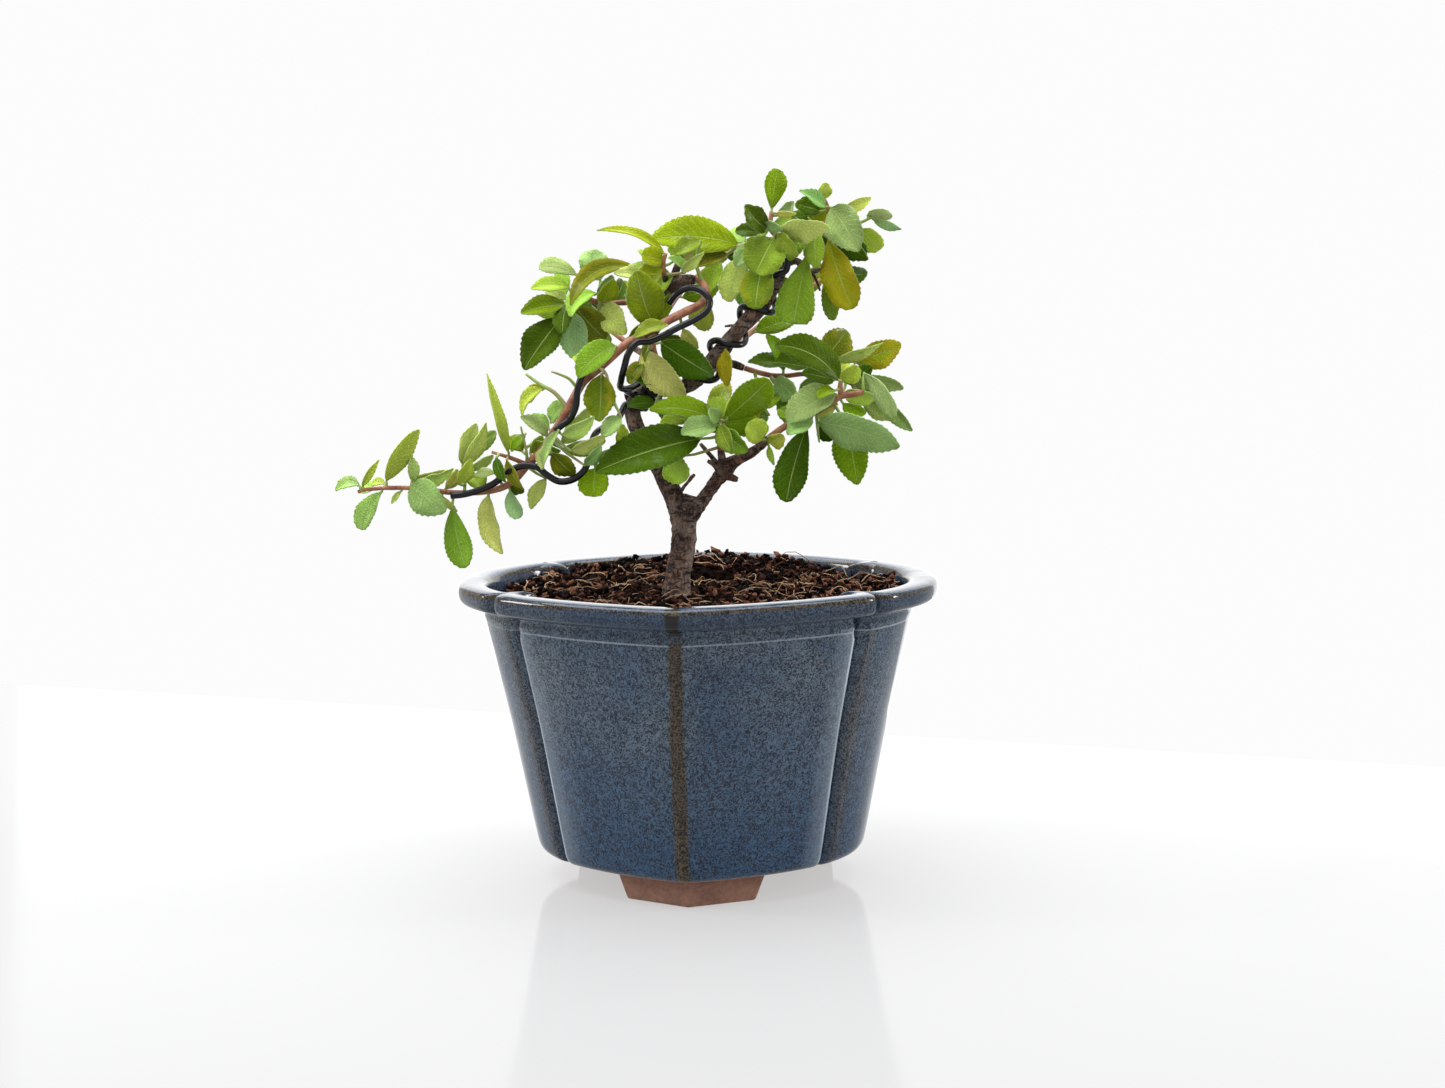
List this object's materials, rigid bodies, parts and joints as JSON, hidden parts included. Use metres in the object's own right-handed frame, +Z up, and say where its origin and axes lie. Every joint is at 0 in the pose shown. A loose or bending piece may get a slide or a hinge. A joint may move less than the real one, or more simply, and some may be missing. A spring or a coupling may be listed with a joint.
{
  "type": "firethorn bonsai",
  "caption": "Small wired firethorn bonsai in semi-cascade shape, planted in a lobed blue-glazed pot on unglazed clay feet.",
  "frame": {"origin": "middle of the underside of the whole object's box, on the plane the pot's feet stand on", "axes": "+Z up; the pot's lobe ridges lie along X and Y; the tree is seen from the front looking along +Y, with its long low shoot falling towards -X"},
  "size_m": [0.1986, 0.15, 0.2375],
  "materials": {
    "glaze": "gloss",
    "mesh": "matte",
    "soil": "loose bark and coir",
    "bark": "rough bark",
    "leaf": "leathery, slightly glossy",
    "wire": "black anodised, satin"
  },
  "bodies": {
    "root": {"pot": "glaze", "drain_mesh": "mesh", "soil": "soil", "trunk": "bark", "cascade_shoot": "leaf", "low_left_sprig": "leaf", "left_spray": "leaf", "crown_spray": "leaf", "inner_spray": "leaf", "apex_left_spray": "leaf", "apex_right_spray": "leaf", "middle_right_spray": "leaf", "red_shoot": "leaf", "fork_spray": "leaf", "far_left_spray": "leaf", "far_crown_spray": "leaf", "far_right_spray": "leaf", "far_low_spray": "leaf", "arch_wire": "wire", "outer_wire": "wire", "shoot_wire": "wire", "apex_wire": "wire"}
  },
  "joints": []
}
